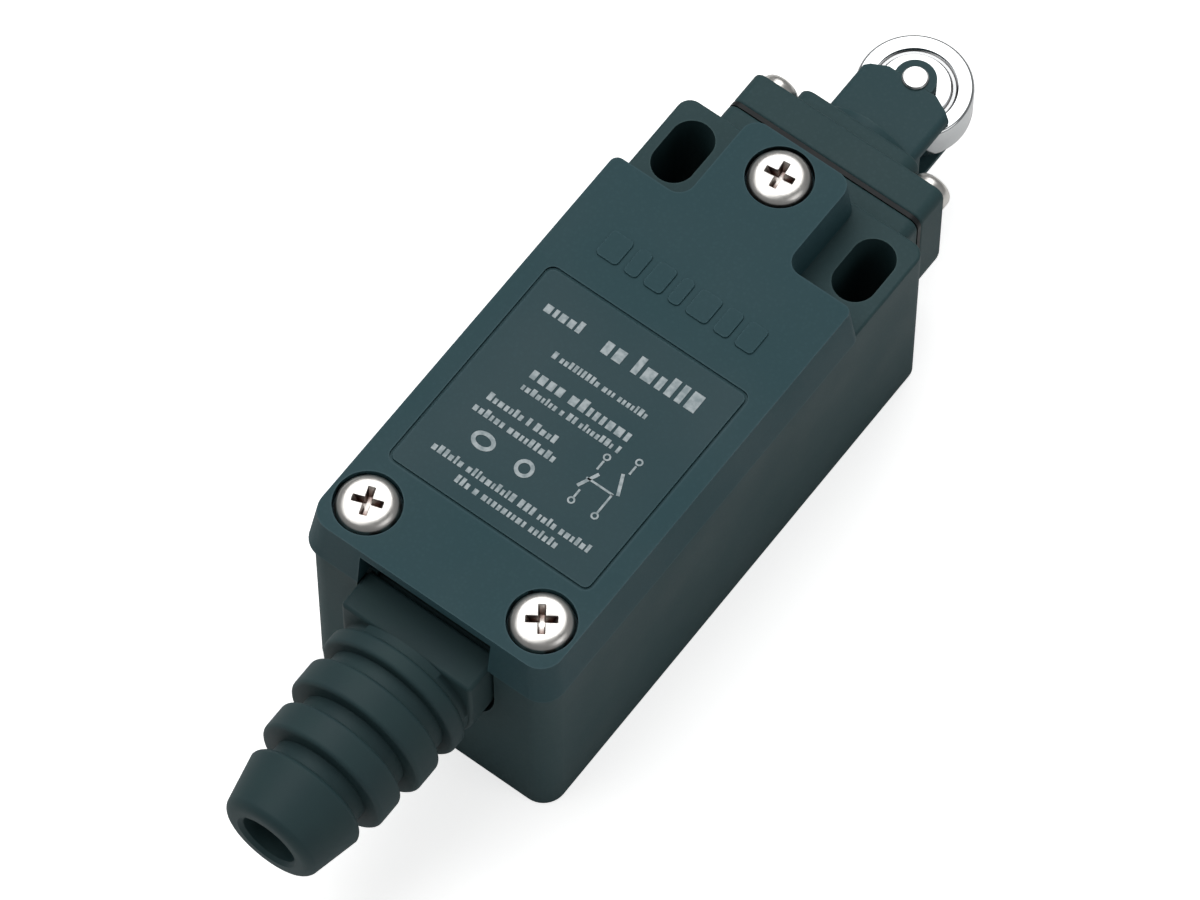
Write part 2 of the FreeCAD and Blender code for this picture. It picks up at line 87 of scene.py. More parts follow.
def only(piece):
    nothing()
    piece.select_set(True)
    bpy.context.view_layer.objects.active = piece


def bake(piece):  # puts the place, turn and size into the mesh
    only(piece)
    bpy.ops.object.transform_apply(location=True, rotation=True, scale=True)
    return piece


def addBlock(name, low, high):
    low, high = Vector(low) * mm, Vector(high) * mm
    nothing()
    bpy.ops.mesh.primitive_cube_add(size=1, location=(low + high) / 2)
    piece = bpy.context.object
    piece.name = name
    piece.scale = high - low
    return bake(piece)


def addRod(name, radius, low, high, axis="Z", at=(0, 0, 0), count=72):
    turn = {"Z": (0, 0, 0), "Y": (math.radians(-90), 0, 0)}[axis]
    place = Vector(at)
    place["XYZ".index(axis)] = (low + high) / 2
    nothing()
    bpy.ops.mesh.primitive_cylinder_add(vertices=count, radius=radius * mm, depth=(high - low) * mm,
                                        location=place * mm, rotation=turn)
    piece = bpy.context.object
    piece.name = name
    return bake(piece)


def openEdit(piece, mode="EDGE"):
    only(piece)
    bpy.ops.object.mode_set(mode="EDIT")
    bpy.ops.mesh.select_mode(type=mode)
    bpy.ops.mesh.select_all(action="DESELECT")
    return bmesh.from_edit_mesh(piece.data)


def closeEdit():
    bpy.ops.object.mode_set(mode="OBJECT")


def middle(edge):
    return (edge.verts[0].co + edge.verts[1].co) / 2 / mm


def pickEdges(piece, test):
    shape = openEdit(piece)
    for edge in shape.edges:
        edge.select_set(test(edge))
    bmesh.update_edit_mesh(piece.data)


def pickPoints(piece, test):
    shape = openEdit(piece, "VERT")
    for point in shape.verts:
        point.select_set(test(point.co / mm))
    shape.select_flush(True)
    bmesh.update_edit_mesh(piece.data)


def along(edge, axis):
    way = (edge.verts[1].co - edge.verts[0].co).normalized()
    return abs(way["XYZ".index(axis)]) > 0.999


def roundCorners(piece, radius, test, axis="Z", segments=10):
    pickEdges(piece, lambda edge: along(edge, axis) and test(middle(edge)))
    bpy.ops.mesh.bevel(offset=radius * mm, segments=segments, affect="EDGES", clamp_overlap=True)
    closeEdit()


def applyTool(piece, name):
    bpy.context.view_layer.objects.active = piece
    bpy.ops.object.modifier_apply(modifier=name)


def combine(piece, tool, how):
    modifier = piece.modifiers.new(how, "BOOLEAN")
    modifier.operation = how
    modifier.solver = "EXACT"
    modifier.object = tool
    applyTool(piece, how)
    bpy.data.objects.remove(tool)
    return piece


def cut(piece, tool):
    return combine(piece, tool, "DIFFERENCE")


def join(piece, tool):
    return combine(piece, tool, "UNION")


def evenShade(piece, smooth=40):  # smooth rounds with the big faces kept flat
    only(piece)
    bpy.ops.object.shade_smooth_by_angle(angle=math.radians(smooth))
    modifier = piece.modifiers.new("weight", "WEIGHTED_NORMAL")
    modifier.keep_sharp = True
    modifier.weight = 90
    applyTool(piece, "weight")
    return piece


def soften(piece, width, segments=3, angle=32, smooth=40):  # breaks the sharp edges as a mould does
    only(piece)
    modifier = piece.modifiers.new("soften", "BEVEL")
    modifier.width = width * mm
    modifier.segments = segments
    modifier.limit_method = "ANGLE"
    modifier.angle_limit = math.radians(angle)
    modifier.use_clamp_overlap = True
    modifier.miter_outer = "MITER_ARC"
    applyTool(piece, "soften")
    return evenShade(piece, smooth)


def turned(name, profile, axis, at, count=96, closed=True):
    # a lathe shape: a ring is extruded from point to point of the profile (place along the axis, radius)
    nothing()
    first = profile[0]
    bpy.ops.mesh.primitive_circle_add(vertices=count, radius=first[1] * mm, location=(0, 0, first[0] * mm))
    piece = bpy.context.object
    piece.name = name
    bake(piece)
    openEdit(piece, "VERT")
    bpy.ops.mesh.select_all(action="SELECT")
    last = first
    for place, radius in profile[1:]:
        bpy.ops.mesh.extrude_region_move(TRANSFORM_OT_translate={"value": (0, 0, (place - last[0]) * mm)})
        share = radius / last[1]
        bpy.ops.transform.resize(value=(share, share, 1), center_override=(0, 0, 0))
        last = (place, radius)
    bpy.ops.mesh.select_all(action="DESELECT")
    bpy.ops.mesh.select_non_manifold(extend=False)
    if closed:
        bpy.ops.mesh.bridge_edge_loops()
    else:
        bpy.ops.mesh.edge_face_add()
    bpy.ops.mesh.select_all(action="SELECT")
    bpy.ops.mesh.remove_doubles(threshold=1e-6)
    bpy.ops.mesh.normals_make_consistent(inside=False)
    closeEdit()
    if axis == "Y":
        piece.rotation_euler = (math.radians(-90), 0, 0)
    piece.location = Vector(at) * mm
    bake(piece)
    bpy.ops.object.shade_smooth_by_angle(angle=math.radians(38))
    return piece


def arc(centre, radius, start, end, steps):  # profile points on an arc, angles in degrees from the axis
    points = []
    for i in range(steps + 1):
        angle = math.radians(start + (end - start) * i / steps)
        points.append((centre[0] + radius * math.cos(angle), centre[1] + radius * math.sin(angle)))
    return points


def hexColor(code):
    def linear(value):
        return value / 12.92 if value <= 0.04045 else ((value + 0.055) / 1.055) ** 2.4
    return [linear(int(code[i:i + 2], 16) / 255) for i in (0, 2, 4)] + [1.0]


def addNode(tree, kind, settings=None, links=None):
    node = tree.nodes.new(kind)
    for name, value in (settings or {}).items():
        if hasattr(node, name):
            setattr(node, name, value)
        else:
            node.inputs[name].default_value = value
    for name, source in (links or {}).items():
        tree.links.new(source, node.inputs[name])
    return node


def newMaterial(name, color, roughness, metallic=0.0, ior=None, extra=None):
    material = bpy.data.materials.new(name)
    material.use_nodes = True
    tree = material.node_tree
    shader = tree.nodes["Principled BSDF"]
    shader.inputs["Base Color"].default_value = hexColor(color)
    shader.inputs["Roughness"].default_value = roughness
    shader.inputs["Metallic"].default_value = metallic
    if ior:
        shader.inputs["IOR"].default_value = ior
    for key, value in (extra or {}).items():
        shader.inputs[key].default_value = value
    material.diffuse_color = hexColor(color)
    return material, tree, shader


def mouldedPlastic(name, look):
    # glass-filled nylon, spark-eroded mould: a fine matt grain, flow marks, slightly polished edges and a painted
    # highlight that lightens the edges
    material, tree, shader = newMaterial(name, look["color"], look["roughness"], ior=1.53,
                                         extra={"Specular IOR Level": look["sheen"]})
    place = addNode(tree, "ShaderNodeTexCoord").outputs["Object"]
    grain = addNode(tree, "ShaderNodeTexNoise", {"Scale": 1 / (look["grainMm"] * mm), "Detail": 3.0,
                                                 "Roughness": 0.6}, {"Vector": place})
    flow = addNode(tree, "ShaderNodeTexNoise", {"Scale": 1 / (look["flowMm"] * mm), "Detail": 2.0},
                   {"Vector": place})
    fibre = addNode(tree, "ShaderNodeTexVoronoi", {"Scale": 1 / (look["fibreMm"] * mm)}, {"Vector": place})
    edgeBand = addNode(tree, "ShaderNodeBevel", {"samples": 6, "Radius": look["edgeBandMm"] * mm})
    flat = addNode(tree, "ShaderNodeNewGeometry").outputs["Normal"]
    facing = addNode(tree, "ShaderNodeVectorMath", {"operation": "DOT_PRODUCT"})
    tree.links.new(edgeBand.outputs["Normal"], facing.inputs[0])
    tree.links.new(flat, facing.inputs[1])
    edge = addNode(tree, "ShaderNodeMapRange", {"From Min": 0.86, "From Max": 0.995, "To Min": 1.0,
                                                "To Max": 0.0}, {"Value": facing.outputs["Value"]})
    tone = addNode(tree, "ShaderNodeMix", {"data_type": "RGBA"})
    tone.inputs[6].default_value = hexColor(look["dark"])
    tone.inputs[7].default_value = hexColor(look["light"])
    tree.links.new(flow.outputs["Fac"], tone.inputs[0])
    speck = addNode(tree, "ShaderNodeMapRange", {"From Min": 0.0, "From Max": 0.5, "To Min": 0.35,
                                                 "To Max": 0.0}, {"Value": fibre.outputs["Distance"]})
    speckled = addNode(tree, "ShaderNodeMix", {"data_type": "RGBA"})
    tree.links.new(speck.outputs[0], speckled.inputs[0])
    tree.links.new(tone.outputs[2], speckled.inputs[6])
    speckled.inputs[7].default_value = hexColor(look["fibre"])
    # painted highlight: the lighter edge colour is mixed in along every edge, while the roughness drop below is
    # real polish
    paintedEdgeHighlight = addNode(tree, "ShaderNodeMix", {"data_type": "RGBA"})
    share = addNode(tree, "ShaderNodeMath", {"operation": "MULTIPLY"}, {0: edge.outputs[0]})
    share.inputs[1].default_value = 0.35
    tree.links.new(share.outputs[0], paintedEdgeHighlight.inputs[0])
    tree.links.new(speckled.outputs[2], paintedEdgeHighlight.inputs[6])
    paintedEdgeHighlight.inputs[7].default_value = hexColor(look["edge"])
    tree.links.new(paintedEdgeHighlight.outputs[2], shader.inputs["Base Color"])
    gloss = addNode(tree, "ShaderNodeMapRange", {"From Min": 0.3, "From Max": 0.7,
                                                 "To Min": look["roughness"] - 0.06,
                                                 "To Max": look["roughness"] + 0.08},
                    {"Value": flow.outputs["Fac"]})
    edgePolish = addNode(tree, "ShaderNodeMath", {"operation": "MULTIPLY_ADD"}, {0: share.outputs[0]})
    edgePolish.inputs[1].default_value = -0.4
    tree.links.new(gloss.outputs[0], edgePolish.inputs[2])
    tree.links.new(edgePolish.outputs[0], shader.inputs["Roughness"])
    bump = addNode(tree, "ShaderNodeBump", {"Strength": look["bump"], "Distance": 0.02 * mm},
                   {"Height": grain.outputs["Fac"]})
    tree.links.new(bump.outputs["Normal"], shader.inputs["Normal"])
    return material


def rubberSkin(name, look):
    # soft moulded rubber: dull, with bloom on the high spots and a fine pebbled skin
    material, tree, shader = newMaterial(name, look["color"], look["roughness"], ior=1.52,
                                         extra={"Specular IOR Level": 0.25})
    place = addNode(tree, "ShaderNodeTexCoord").outputs["Object"]
    pebble = addNode(tree, "ShaderNodeTexNoise", {"Scale": 1 / (look["pebbleMm"] * mm), "Detail": 4.0},
                     {"Vector": place})
    bloom = addNode(tree, "ShaderNodeTexNoise", {"Scale": 1 / (look["bloomMm"] * mm), "Detail": 3.0},
                    {"Vector": place})
    tone = addNode(tree, "ShaderNodeMix", {"data_type": "RGBA"})
    tone.inputs[6].default_value = hexColor(look["dark"])
    tone.inputs[7].default_value = hexColor(look["light"])
    tree.links.new(bloom.outputs["Fac"], tone.inputs[0])
    tree.links.new(tone.outputs[2], shader.inputs["Base Color"])
    dull = addNode(tree, "ShaderNodeMapRange", {"To Min": look["roughness"] - 0.08,
                                                "To Max": look["roughness"] + 0.1},
                   {"Value": bloom.outputs["Fac"]})
    tree.links.new(dull.outputs[0], shader.inputs["Roughness"])
    bump = addNode(tree, "ShaderNodeBump", {"Strength": look["bump"], "Distance": 0.02 * mm},
                   {"Height": pebble.outputs["Fac"]})
    tree.links.new(bump.outputs["Normal"], shader.inputs["Normal"])
    return material


def metalSkin(name, look):
    # plated or ground metal: fine turning lines, faint clouding and painted shade darkening the recesses
    # default reach and brownish colour of the painted shade in recesses, and the AO range it spans
    look = {"recessShadeMm": 0.8, "recessShade": "6E5249", "hidden": (0.35, 0.8), **look}
    material, tree, shader = newMaterial(name, look["color"], look["roughness"], metallic=1.0)
    place = addNode(tree, "ShaderNodeTexCoord").outputs["Object"]
    spread = addNode(tree, "ShaderNodeMapping", {"Scale": look["stretch"]}, {"Vector": place})
    lines = addNode(tree, "ShaderNodeTexNoise", {"Scale": 1 / (look["lineMm"] * mm), "Detail": 4.0},
                    {"Vector": spread.outputs[0]})
    cloud = addNode(tree, "ShaderNodeTexNoise", {"Scale": 1 / (look["cloudMm"] * mm), "Detail": 2.0},
                    {"Vector": place})
    tone = addNode(tree, "ShaderNodeMix", {"data_type": "RGBA"})
    tone.inputs[6].default_value = hexColor(look["dark"])
    tone.inputs[7].default_value = hexColor(look["color"])
    tree.links.new(cloud.outputs["Fac"], tone.inputs[0])
    # painted shade: ambient occlusion mixes a dark colour in where recesses and creases are occluded
    crevice = addNode(tree, "ShaderNodeAmbientOcclusion", {"samples": 8, "only_local": True,
                                                           "Distance": look["recessShadeMm"] * mm})
    fullShadeAo, noShadeAo = look["hidden"]
    clear = addNode(tree, "ShaderNodeMapRange", {"From Min": fullShadeAo, "From Max": noShadeAo},
                    {"Value": crevice.outputs["AO"]})
    paintedShade = addNode(tree, "ShaderNodeMix", {"data_type": "RGBA"})
    tree.links.new(clear.outputs[0], paintedShade.inputs[0])
    paintedShade.inputs[6].default_value = hexColor(look["recessShade"])
    tree.links.new(tone.outputs[2], paintedShade.inputs[7])
    tree.links.new(paintedShade.outputs[2], shader.inputs["Base Color"])
    gloss = addNode(tree, "ShaderNodeMapRange", {"To Min": look["roughness"] * 0.7,
                                                 "To Max": look["roughness"] * 1.5},
                    {"Value": lines.outputs["Fac"]})
    tree.links.new(gloss.outputs[0], shader.inputs["Roughness"])
    bump = addNode(tree, "ShaderNodeBump", {"Strength": look["bump"], "Distance": 0.01 * mm},
                   {"Height": lines.outputs["Fac"]})
    tree.links.new(bump.outputs["Normal"], shader.inputs["Normal"])
    return material


def printInk(name, look):
    # pad-printed two-part ink: a thin dull coat that is a little patchy
    material, tree, shader = newMaterial(name, look["color"], look["roughness"], ior=1.5,
                                         extra={"Specular IOR Level": 0.3})
    place = addNode(tree, "ShaderNodeTexCoord").outputs["Object"]
    patch = addNode(tree, "ShaderNodeTexNoise", {"Scale": 1 / (look["patchMm"] * mm), "Detail": 4.0},
                    {"Vector": place})
    thin = addNode(tree, "ShaderNodeMapRange", {"From Min": 0.35, "From Max": 0.6},
                   {"Value": patch.outputs["Fac"]})
    tone = addNode(tree, "ShaderNodeMix", {"data_type": "RGBA"})
    tone.inputs[6].default_value = hexColor(look["dark"])
    tone.inputs[7].default_value = hexColor(look["color"])
    tree.links.new(thin.outputs[0], tone.inputs[0])
    tree.links.new(tone.outputs[2], shader.inputs["Base Color"])
    dull = addNode(tree, "ShaderNodeMapRange", {"To Min": look["roughness"] - 0.06,
                                                "To Max": look["roughness"] + 0.1},
                   {"Value": patch.outputs["Fac"]})
    tree.links.new(dull.outputs[0], shader.inputs["Roughness"])
    bump = addNode(tree, "ShaderNodeBump", {"Strength": 0.2, "Distance": 0.01 * mm},
                   {"Height": patch.outputs["Fac"]})
    tree.links.new(bump.outputs["Normal"], shader.inputs["Normal"])
    return material


# petrol-coloured glass-filled nylon, as most small plastic switch housings are
# the edge colour in each plastic look is the painted highlight along the edges
plasticLook = {"color": "30484B", "dark": "2C4447", "light": "344C4F", "fibre": "3A5256", "edge": "44605F",
               "roughness": 0.6, "sheen": 0.2, "grainMm": 0.16, "flowMm": 14.0, "fibreMm": 0.5,
               "edgeBandMm": 0.35, "bump": 0.35}
baseLook = dict(plasticLook)
# the same nylon from another mould, a shade cooler
coverLook = dict(plasticLook, color="2D4B51", dark="29474D", light="314F55", fibre="36555B", edge="42626A")
plungerLook = dict(plasticLook, color="2E494D", dark="2A4448", light="324D52", roughness=0.55)
# the label area: the nylon is polished there under a clear lacquer
labelLook = dict(plasticLook, color="2B484E", dark="28444A", light="2E4B51", fibre="314F55", edge="3E6066",
                 roughness=0.52, bump=0.1)
# soft moulded chloroprene of the strain relief sleeve
grommetLook = {"color": "2A4045", "dark": "263B40", "light": "2E4546", "roughness": 0.58, "pebbleMm": 0.25,
               "bloomMm": 4.0, "bump": 0.3}
# black nitrile rubber of the gaskets and the wiper
sealLook = {"color": "15181A", "dark": "111416", "light": "1C2022", "roughness": 0.5, "pebbleMm": 0.2,
            "bloomMm": 2.0, "bump": 0.25}
# steel screws with bright nickel plate
nickelLook = {"color": "E2E0DC", "dark": "D2CFCA", "roughness": 0.3, "lineMm": 0.3, "cloudMm": 1.5,
              "stretch": (1, 1, 1), "bump": 0.15}
# hardened bearing steel, ground on the rim, painted shade darkening the face groove
rollerLook = {"color": "DADCDD", "dark": "CACCCE", "roughness": 0.13, "lineMm": 0.25, "cloudMm": 2.0,
              "stretch": (1, 1, 6), "bump": 0.08, "hidden": (0.55, 0.97), "recessShade": "3A3533"}
# bright drawn steel, its ends peened over
pinLook = {"color": "D5D6D6", "dark": "BFC0C0", "roughness": 0.22, "lineMm": 0.2, "cloudMm": 1.0,
           "stretch": (1, 1, 1), "bump": 0.1}
# free-cutting brass as turned
brassLook = {"color": "C9A45C", "dark": "B08E4A", "roughness": 0.28, "lineMm": 0.2, "cloudMm": 2.0,
             "stretch": (1, 6, 1), "bump": 0.12}
# zinc-plated steel of the terminal screws and clamps
zincLook = {"color": "BFC3C6", "dark": "A3A9AE", "roughness": 0.3, "lineMm": 0.3, "cloudMm": 1.2,
            "stretch": (1, 1, 1), "bump": 0.15}
# silver-nickel contact rivets
silverLook = {"color": "E2DFD8", "dark": "CFCBC2", "roughness": 0.25, "lineMm": 0.2, "cloudMm": 0.8,
              "stretch": (1, 1, 1), "bump": 0.1}
# patented drawn spring wire
springLook = {"color": "9DA0A3", "dark": "868A8E", "roughness": 0.3, "lineMm": 0.15, "cloudMm": 1.0,
              "stretch": (1, 1, 1), "bump": 0.15}
# black phenolic moulding of the contact block
blockLook = dict(plasticLook, color="1E2022", dark="191B1D", light="242729", fibre="34373A", edge="3A3E42")
# cream urea moulding that closes the contact block
lidLook = dict(plasticLook, color="CFC9B4", dark="C4BEA8", light="D6D1BE", fibre="DCD8C8", edge="E2DECF")
# natural acetal, which slides dry
acetalLook = dict(plasticLook, color="DAD9D0", dark="D0CFC5", light="E0DFD7", fibre="E4E3DC", edge="E8E7E1",
                  roughness=0.35)
inkLook = {"color": "B9C3C6", "dark": "93A1A5", "roughness": 0.6, "patchMm": 0.7}

finish = {
    "base": mouldedPlastic("mouldedNylonBase", baseLook),
    "cover": mouldedPlastic("mouldedNylonCover", coverLook),
    "plunger": mouldedPlastic("mouldedNylonPlunger", plungerLook),
    "label": mouldedPlastic("lacqueredPanel", labelLook),
    "grommet": rubberSkin("softRubberGrommet", grommetLook),
    "seal": rubberSkin("nitrileSeal", sealLook),
    "nickel": metalSkin("nickelPlatedSteel", nickelLook),
    "roller": metalSkin("groundBearingSteel", rollerLook),
    "pin": metalSkin("rivetedSteelPin", pinLook),
    "brass": metalSkin("turnedBrass", brassLook),
    "zinc": metalSkin("zincPlatedSteel", zincLook),
    "silver": metalSkin("silverAlloyTip", silverLook),
    "spring": metalSkin("drawnSpringSteel", springLook),
    "block": mouldedPlastic("phenolicContactBlock", blockLook),
    "lid": mouldedPlastic("ureaLid", lidLook),
    "acetal": mouldedPlastic("whiteAcetal", acetalLook),
    "ink": printInk("palePadPrintInk", inkLook),
}


def paint(piece, key):
    piece.data.materials.clear()
    piece.data.materials.append(finish[key])


nodeFinish = {
    "cover_gasket": "seal", "head_gasket": "seal", "contact_block_case": "block", "contact_block_lid": "lid",
    "contact_block_screws": "zinc", "terminal_screws": "zinc", "terminal_clamps": "zinc",
    "nc_fixed_contacts": "brass", "no_fixed_contacts": "brass", "fixed_contact_tips": "silver",
    "plunger_retainer": "brass", "pusher": "acetal", "contact_carrier": "acetal", "nc_bridge": "brass",
    "no_bridge": "brass", "bridge_tips": "silver", "contact_springs": "spring",
    "plunger_return_spring": "spring", "overtravel_spring": "spring", "carrier_return_spring": "spring",
}
for node, key in nodeFinish.items():
    paint(nodes[node], key)
print("materials done")


def dress(piece, key, body, node):
    paint(piece, key)
    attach(piece, body)
    if node:
        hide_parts(*node.split())
    return piece


base = {
    "bottomCorner": 2.5, "topCorner": 1.5, "wall": 2.4, "endWall": 3.1, "roomEnd": -8.0,
    "roomCorner": 1.5,
    "neckBackCorner": 6.0, "neckFrontCorner": 1.2, "slotRadius": 2.3, "slotReach": 1.5,
    "chamberRadius": 7.2, "chamberEnd": -6.5, "seatRadius": 8.2, "lipRadius": 7.0, "lip": 1.5,
    "edge": 0.35, "holeEdge": 0.15,
}


def neckShape(name, low, high, y0, y1):
    block = addBlock(name, (low.x, y0, low.z), (high.x, y1, high.z))
    mid = (low.z + high.z) / 2
    roundCorners(block, base["neckBackCorner"], lambda at: at.z < mid, "Y", 14)
    roundCorners(block, base["neckFrontCorner"], lambda at: at.z > mid, "Y", 6)
    return block


def ovalCutter(x, low, high):
    rod = addRod("slotCutter", base["slotRadius"], low, high, at=(x, 0, 0), count=64)
    for side in (-1, 1):
        pickPoints(rod, lambda at: at.y * side > 0.001)
        bpy.ops.transform.translate(value=(0, side * base["slotReach"] * mm, 0))
        closeEdit()
    return rod


def makeBase():
    body = addBlock("housingBody", (baseLow.x, baseLow.y, 0), (baseHigh.x, neckStart, baseHigh.z))
    roundCorners(body, base["bottomCorner"], lambda at: at.y < 0)
    roundCorners(body, base["topCorner"], lambda at: at.y > 0, segments=6)
    neck = neckShape("neck", headLow, headHigh, neckStart - 1, gasketLow.y)
    join(body, neck)
    wall = base["wall"]
    room = addBlock("room", (baseLow.x + wall, baseLow.y + base["endWall"], wall),
                    (baseHigh.x - wall, base["roomEnd"], baseHigh.z + 1))
    roundCorners(room, base["roomCorner"], lambda at: True, segments=5)
    cut(body, room)
    cut(body, addRod("chamber", base["chamberRadius"], base["chamberEnd"], gasketLow.y + 1, "Y",
                     (0, 0, pin.z)))
    soften(body, base["edge"])
    for x in (-slotX, slotX):
        cut(body, ovalCutter(x, -1, baseHigh.z + 1))
    for radius, y0, y1 in ((base["seatRadius"], baseLow.y - 1, baseLow.y + base["endWall"] - base["lip"]),
                           (base["lipRadius"], baseLow.y, baseLow.y + base["endWall"] + 1)):
        notch = addRod("glandCutter", radius, y0, y1, "Y", (0, 0, gland.z), 96)
        pickPoints(notch, lambda at: at.z > gland.z + 0.001)
        bpy.ops.transform.translate(value=(0, 0, (baseHigh.z - gland.z) * mm))
        closeEdit()
        cut(body, notch)
    soften(body, base["holeEdge"], 2)
    return dress(body, "base", "housing", "housing_base")


neckStart = gasketLow.y - 3.0
makeBase()
print("housing base done")

lid = {
    "tongue": 6.4, "shoulder": -6.2, "corner": 2.5, "innerCorner": 1.8, "outerCorner": 0.9,
    "draft": 0.7, "front": 2.0, "sinkRadius": 3.45, "sinkDepth": 1.5, "holeRadius": 1.7,
    "edge": 0.45, "holeEdge": 0.12,
    "relief": (7.8, 2.4, 1.0),  # half width, depth and the lip left above it
}
panel = {
    "x": 11.8, "top": -20.3, "bottom": -46.0, "corner": 0.7, "gap": 0.3, "deep": 0.25, "ink": 0.04,
    "line": 0.22, "edge": 0.06, "sunk": 0.02,  # the plate stays a hair below the front
    # rows of the print: y of the foot, left end, right end, height
    "rows": [(-24.9, -2.5, 9.3, 2.1), (-28.2, -5.9, 5.4, 0.8), (-31.2, -6.3, 6.3, 1.4),
             (-32.7, -6.2, 5.6, 0.8), (-35.5, -8.2, 0.6, 0.9), (-37.2, -8.6, 1.1, 0.9),
             (-42.9, -9.2, 10.2, 0.9), (-44.4, -5.3, 6.9, 0.9)],
}
screwHead = {"radius": 3.2, "height": 2.0}
headScrew = {"radius": 2.1, "height": 1.7}
screwLow, screwHigh = edges("cover_screws")
screwX = screwHigh.x - screwHead["radius"]
screwPlaces = [(0.0, screwHigh.y - screwHead["radius"]), (-screwX, screwLow.y + screwHead["radius"]),
               (screwX, screwLow.y + screwHead["radius"])]


def makeCover():
    shell = addBlock("coverShell", coverLow, (coverHigh.x, lid["shoulder"], coverHigh.z))
    tongue = addBlock("tongue", (-lid["tongue"], lid["shoulder"] - 2, coverLow.z),
                      (lid["tongue"], coverHigh.y, coverHigh.z))
    join(shell, tongue)
    roundCorners(shell, lid["corner"], lambda at: at.y < -20)
    roundCorners(shell, lid["innerCorner"], lambda at: abs(at.x) < lid["tongue"] + 0.5)
    roundCorners(shell, lid["outerCorner"], lambda at: abs(at.x) > coverHigh.x - 1 and at.y > -8, segments=5)
    centre = Vector((0, (coverLow.y + coverHigh.y) / 2, 0))
    share = Vector((1 - lid["draft"] / coverHigh.x, 1 - lid["draft"] / (coverHigh.y - centre.y), 1))
    pickPoints(shell, lambda at: at.z > coverHigh.z - 0.01)
    bpy.ops.transform.resize(value=share, center_override=centre * mm)
    closeEdit()
    wall = base["wall"]
    room = addBlock("coverRoom", (baseLow.x + wall, baseLow.y + base["endWall"], coverLow.z - 1),
                    (baseHigh.x - wall, base["roomEnd"], coverHigh.z - lid["front"]))
    roundCorners(room, base["roomCorner"], lambda at: True, segments=5)
    cut(shell, room)
    soften(shell, lid["edge"])
    half, deep, lip = lid["relief"]
    cut(shell, addBlock("relief", (-half, coverLow.y - 1, coverLow.z - 1),
                        (half, coverLow.y + deep, coverHigh.z - lip)))
    gap = panel["gap"]
    x = panel["x"] + gap
    pocket = addBlock("pocket", (-x, panel["bottom"] - gap, coverHigh.z - panel["deep"]),
                      (x, panel["top"] + gap, coverHigh.z + 1))
    roundCorners(pocket, panel["corner"] + gap, lambda at: True, segments=6)
    cut(shell, pocket)
    for x, y in screwPlaces:
        cut(shell, addRod("sink", lid["sinkRadius"], coverHigh.z - lid["sinkDepth"], coverHigh.z + 1,
                          at=(x, y, 0)))
        cut(shell, addRod("hole", lid["holeRadius"], coverLow.z - 1, coverHigh.z, at=(x, y, 0), count=40))
    soften(shell, lid["holeEdge"], 2)
    return dress(shell, "cover", "housing", "cover")


makeCover()
print("cover done")

headShape = {"bossHalfWidth": 7.2, "bossHalfDepth": 7.9, "bossCorner": 1.6, "edge": 0.4, "bushWall": 0.55}


def makeHead():
    block = neckShape("headBlock", headLow, headHigh, headLow.y, headScrewSeat)
    wide, deep = headShape["bossHalfWidth"], headShape["bossHalfDepth"]
    boss = addBlock("boss", (-wide, headLow.y + 1, pin.z - deep), (wide, headHigh.y, pin.z + deep))
    roundCorners(boss, headShape["bossCorner"], lambda at: True, "Y", 8)
    join(block, boss)
    cut(block, addRod("bore", bushRadius, headLow.y - 1, headHigh.y + 1, "Y", (0, 0, pin.z), 96))
    soften(block, headShape["edge"])
    return dress(block, "base", "housing", "plunger_head")


headScrewHigh = edges("head_screws")[1]
headScrewSeat = headScrewHigh.y - headScrew["height"]
makeHead()


def makeBush():
    inner = bushRadius - headShape["bushWall"]
    profile = [(bushLow.y, bushRadius - 0.2), (bushLow.y + 0.2, bushRadius), (bushHigh.y, bushRadius),
               (bushHigh.y, inner), (bushLow.y + 0.2, inner), (bushLow.y, inner + 0.2)]
    bush = turned("guideSleeve", profile, "Y", (0, 0, pin.z))
    return dress(bush, "brass", "housing", "guide_bush")


def makeSeal():
    inner = bushRadius - headShape["bushWall"]
    top = sealHigh.y
    profile = [(sealLow.y, inner), (sealLow.y, bushRadius), (top - 0.3, bushRadius)]
    profile += arc((top - 0.2, bushRadius - 0.3), 0.2, 90, 0, 4)
    profile += arc((top - 0.1, inner + 0.1), 0.1, 0, -90, 3)
    seal = turned("wiperLip", profile, "Y", (0, 0, pin.z))
    return dress(seal, "seal", "housing", "wiper_seal")


makeBush()
makeSeal()
print("head done")

screwShape = {
    "wall": 0.5, "flat": 0.62,  # shares: of the height that is straight, of the top that is flat
    "shank": 1.5, "tip": 0.9, "tipLength": 0.6, "brim": 0.15, "edge": 0.07,
}
drive = {"width": 0.26, "reach": 0.55, "depth": 0.62, "taper": 0.6}


def makeScrew(name, size, length):
    # a pan head drawn up ring by ring, with a cross recess pressed into it
    radius, height = size["radius"], size["height"]
    shank, brim = screwShape["shank"], screwShape["brim"]
    profile = [(-length, screwShape["tip"]), (-length + screwShape["tipLength"], shank), (0, shank),
               (0, radius - brim), (brim, radius), (height * screwShape["wall"], radius)]
    rise, turn = 1 - screwShape["wall"], 1 - screwShape["flat"]
    profile += [(height * (screwShape["wall"] + rise * math.sin(math.radians(a))),
                 radius * (screwShape["flat"] + turn * math.cos(math.radians(a)))) for a in range(15, 91, 15)]
    profile.append((height, 0.05))
    screw = turned(name, profile, "Z", (0, 0, 0), 64, closed=False)
    reach = radius * drive["reach"]
    for turn in (0, 90):
        half = drive["width"] * radius / 2
        blade = addBlock("blade", (-reach, -half, height * (1 - drive["depth"])), (reach, half, height + 0.5))
        pickPoints(blade, lambda at: at.z < height)
        bpy.ops.transform.resize(value=(drive["taper"], drive["taper"], 1), center_override=(0, 0, 0))
        closeEdit()
        blade.rotation_euler.z = math.radians(turn)
        bake(blade)
        cut(screw, blade)
    return soften(screw, screwShape["edge"], 2, 35, 35)


